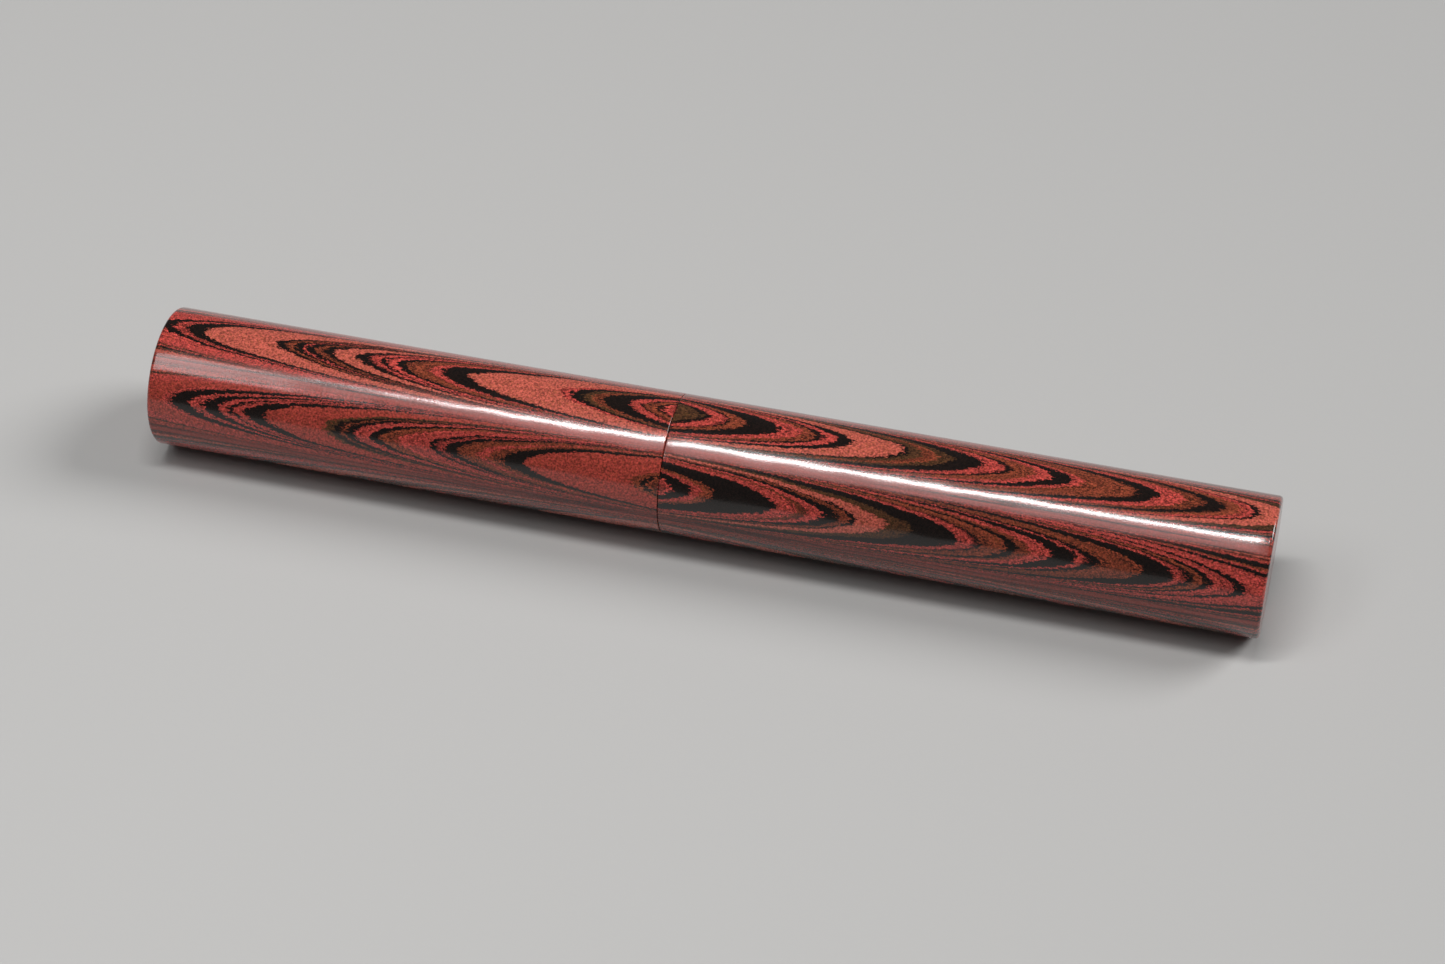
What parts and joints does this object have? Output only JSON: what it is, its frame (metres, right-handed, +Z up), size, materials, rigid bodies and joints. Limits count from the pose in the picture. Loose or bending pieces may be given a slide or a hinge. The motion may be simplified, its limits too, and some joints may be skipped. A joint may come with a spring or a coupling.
{
  "type": "dip pen holder",
  "caption": "Straight round dip pen holder: a push-fit cap meets the barrel flush and covers a screwed-in grip with a sprung ferrule and a dip nib.",
  "frame": {"origin": "on the surface that the pen lies on, under the middle of the closed pen", "axes": "+X along the pen from the cap's closed end to the barrel's closed end, +Z up, away from the surface"},
  "size_m": [0.132, 0.0164, 0.0165],
  "materials": {
    "ripple_ebonite": "polished hard rubber with jagged red, brown, olive and black layers",
    "black_ebonite": "polished black hard rubber",
    "ring_rubber": "soft black rubber",
    "ferrule_brass": "drawn and lightly polished",
    "spring_steel": "plain spring steel strip",
    "nib_steel": "satin bronzed steel"
  },
  "bodies": {
    "barrel": {"barrel_shell": "ripple_ebonite"},
    "screw_carrier": {"section_seal_ring": "ring_rubber"},
    "section": {"grip_section": "black_ebonite", "ferrule_sleeve": "ferrule_brass", "ferrule_claws": "spring_steel", "cap_friction_ring": "ring_rubber"},
    "cap": {"cap_shell": "ripple_ebonite"},
    "nib": {"nib": "nib_steel"}
  },
  "joints": [
    {"name": "section_advance", "type": "slide", "parent": "barrel", "child": "screw_carrier", "axis": [-1, 0, 0], "range_m": [0, 0.007]},
    {"name": "section_turn", "type": "hinge", "parent": "screw_carrier", "child": "section", "pos_m": [0, 0, 0.00824], "axis": [-1, 0, 0], "range_deg": [0, 1000]},
    {"name": "cap_pull", "type": "slide", "parent": "section", "child": "cap", "axis": [-1, 0, 0], "range_m": [0, 0.06]},
    {"name": "nib_pull", "type": "slide", "parent": "section", "child": "nib", "axis": [-1, 0, 0], "range_m": [0, 0.0113]}
  ],
  "couplings": [
    {"joint": "section_advance", "follows": "section_turn", "m_per_rad": 0.00039789}
  ]
}
